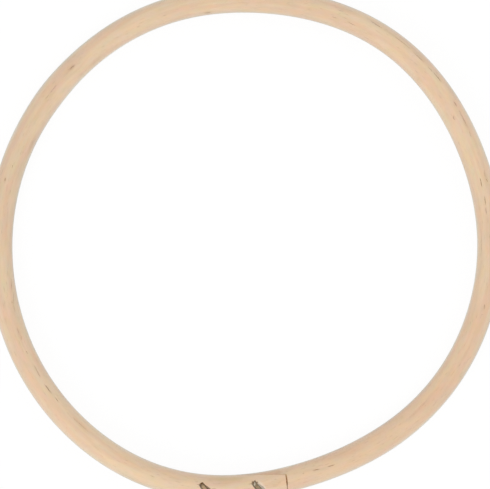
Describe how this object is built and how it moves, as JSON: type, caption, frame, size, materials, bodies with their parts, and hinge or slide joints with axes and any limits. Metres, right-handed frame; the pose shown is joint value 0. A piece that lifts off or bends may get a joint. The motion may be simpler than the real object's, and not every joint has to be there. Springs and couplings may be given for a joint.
{
  "type": "needlework hoop",
  "caption": "Craft hoop for needlework: a round peeled-cane rod bent into a ring, its tapered ends lapped over each other, glued and stapled.",
  "frame": {"origin": "on the surface that the hoop lies on, under the middle of its outline", "axes": "+Z is the hoop's own axis, upwards; +Y points away from the scarf joint, which lies at -Y; +X to the right"},
  "size_m": [0.15, 0.1492, 0.0077],
  "materials": {
    "cane": "bare peeled cane, smoothed but unvarnished, with fine fibres along it, dark hairline checks and a soft low sheen",
    "staple_steel": "plain galvanised staple wire, dulled, with wood dust and rust in its corners",
    "glue": "dried wood glue, amber and slightly shiny"
  },
  "bodies": {
    "root": {"bent_cane": "cane", "scarf_glue": "glue", "left_staple": "staple_steel", "right_staple": "staple_steel"}
  },
  "joints": []
}
